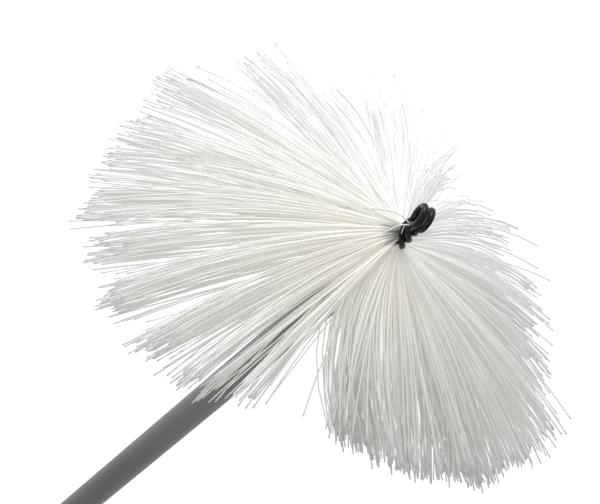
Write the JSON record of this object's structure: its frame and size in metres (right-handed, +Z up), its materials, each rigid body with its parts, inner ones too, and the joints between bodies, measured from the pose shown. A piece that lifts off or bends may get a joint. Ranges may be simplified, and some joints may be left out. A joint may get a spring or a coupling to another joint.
{
  "type": "cobweb brush",
  "caption": "Round cobweb brush: long stiff white bristles swept back from a black twisted wire with a double eye, on a straight grey tube handle with a hanging hole.",
  "frame": {"origin": "centre of the hanging hole in the end cap", "axes": "+Z up the handle to the bristles, +X along the hanging hole and through both eyes of the wire"},
  "size_m": [0.403, 0.3469, 0.9998],
  "materials": {
    "grey_tube": "satin grey powder coat",
    "cap_plastic": "fine moulded grain",
    "bush_plastic": "moulded",
    "zinc_steel": "zinc plated",
    "black_wire": "black oxide with a satin sheen",
    "nylon_bristle": "translucent white nylon"
  },
  "bodies": {
    "root": {"handle_tube": "grey_tube", "end_cap": "cap_plastic", "mouth_bush": "bush_plastic", "wire_socket": "zinc_steel", "cross_pin": "zinc_steel", "eye_wire_left": "black_wire", "eye_wire_right": "black_wire", "bristles_rear_1": "nylon_bristle", "bristles_rear_2": "nylon_bristle", "bristles_rear_3": "nylon_bristle", "bristles_rear_4": "nylon_bristle", "bristles_rear_5": "nylon_bristle", "bristles_rear_6": "nylon_bristle", "bristles_front_1": "nylon_bristle", "bristles_front_2": "nylon_bristle", "bristles_front_3": "nylon_bristle", "bristles_front_4": "nylon_bristle", "bristles_front_5": "nylon_bristle", "bristles_front_6": "nylon_bristle"}
  },
  "joints": []
}
